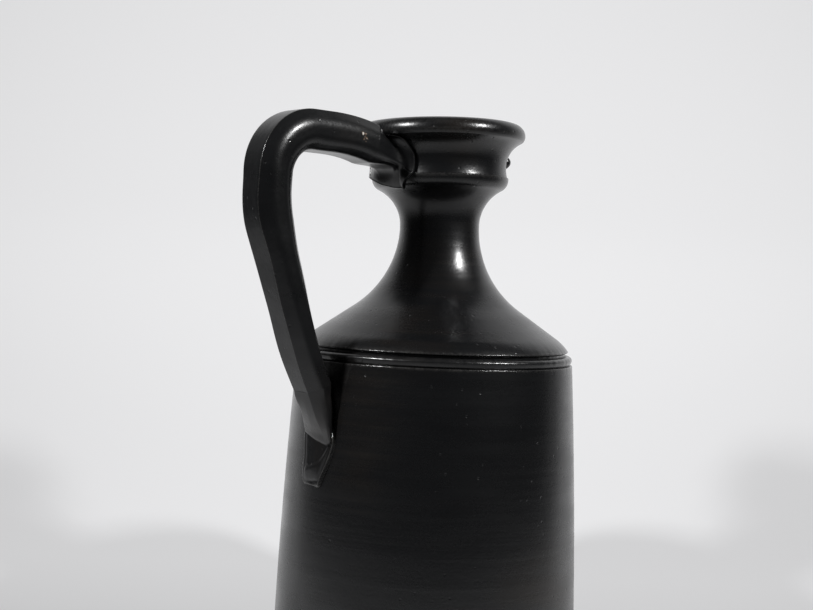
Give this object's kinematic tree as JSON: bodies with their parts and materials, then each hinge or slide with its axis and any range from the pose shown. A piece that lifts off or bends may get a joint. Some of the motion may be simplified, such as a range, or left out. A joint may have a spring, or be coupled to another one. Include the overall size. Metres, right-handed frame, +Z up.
{
  "type": "oinochoe jug",
  "caption": "Black-gloss wine jug with a straight body widening to its foot, sloping shoulder, narrow neck, flaring collared mouth and a high faceted handle with a leaf-shaped lower end.",
  "frame": {"origin": "centre of the foot ring's resting plane, on the body's axis", "axes": "+Z up along the body's axis; the handle points to -X, and the jug pours towards +X"},
  "size_m": [0.1709, 0.1342, 0.2419],
  "materials": {
    "black_gloss": "black slip fired to a soft gloss over thrown red clay",
    "handle_gloss": "black slip fired to a soft gloss over pared red clay, worn on the edges"
  },
  "bodies": {
    "root": {"foot_ring": "black_gloss", "body": "black_gloss", "shoulder_ring": "black_gloss", "shoulder_neck": "black_gloss", "mouth_bowl": "black_gloss", "mouth_collar": "black_gloss", "handle": "handle_gloss", "handle_root": "handle_gloss", "handle_leaf": "handle_gloss", "mouth_pellet": "black_gloss"}
  },
  "joints": []
}
